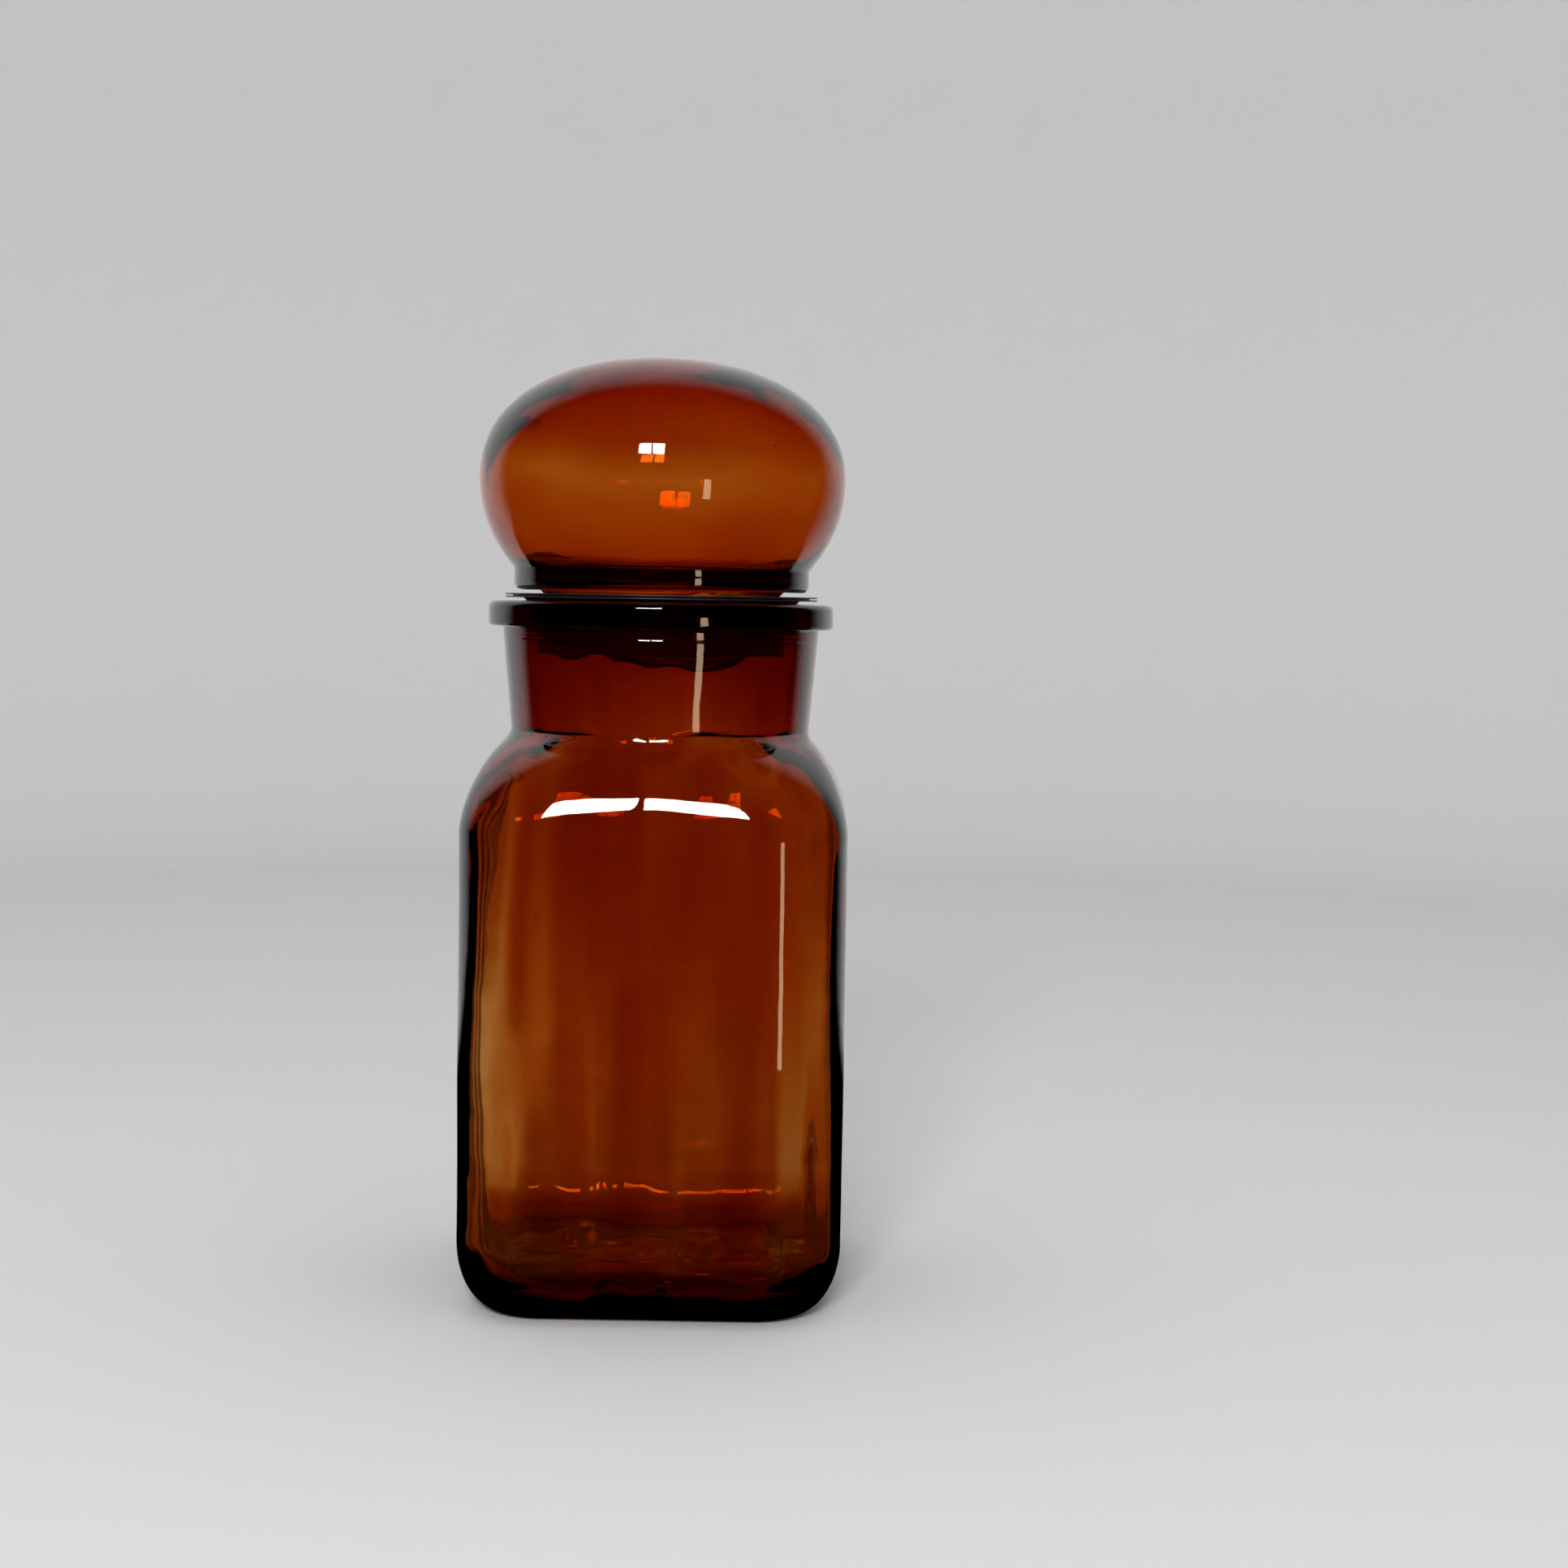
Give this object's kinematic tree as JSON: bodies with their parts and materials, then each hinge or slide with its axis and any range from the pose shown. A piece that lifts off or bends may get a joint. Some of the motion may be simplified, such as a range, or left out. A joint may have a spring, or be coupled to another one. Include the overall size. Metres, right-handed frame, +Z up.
{
  "type": "apothecary jar",
  "caption": "Square-shouldered amber glass apothecary jar with a hollow bubble lid, which a finned black collar seals in the round neck.",
  "frame": {"origin": "centre of the footprint, on the surface that the jar stands on", "axes": "+Z up along the axis of the neck and lid, X and Y square to the jar's flat sides, -Y towards the front"},
  "size_m": [0.0804, 0.0804, 0.1988],
  "materials": {
    "amber_glass": "clear amber glass, fire-polished and slightly wavy",
    "black_seal": "black moulded soft plastic, satin"
  },
  "bodies": {
    "jar": {"jar_body": "amber_glass"},
    "seal": {"seal_collar": "black_seal"},
    "lid": {"bubble_lid": "amber_glass"}
  },
  "joints": [
    {"name": "lid_lift", "type": "slide", "parent": "jar", "child": "seal", "axis": [0, 0, 1], "range_m": [0, 0.06]},
    {"name": "lid_turn", "type": "hinge", "parent": "seal", "child": "lid", "pos_m": [0, 0, 0.15], "axis": [0, 0, 1], "continuous": true}
  ]
}
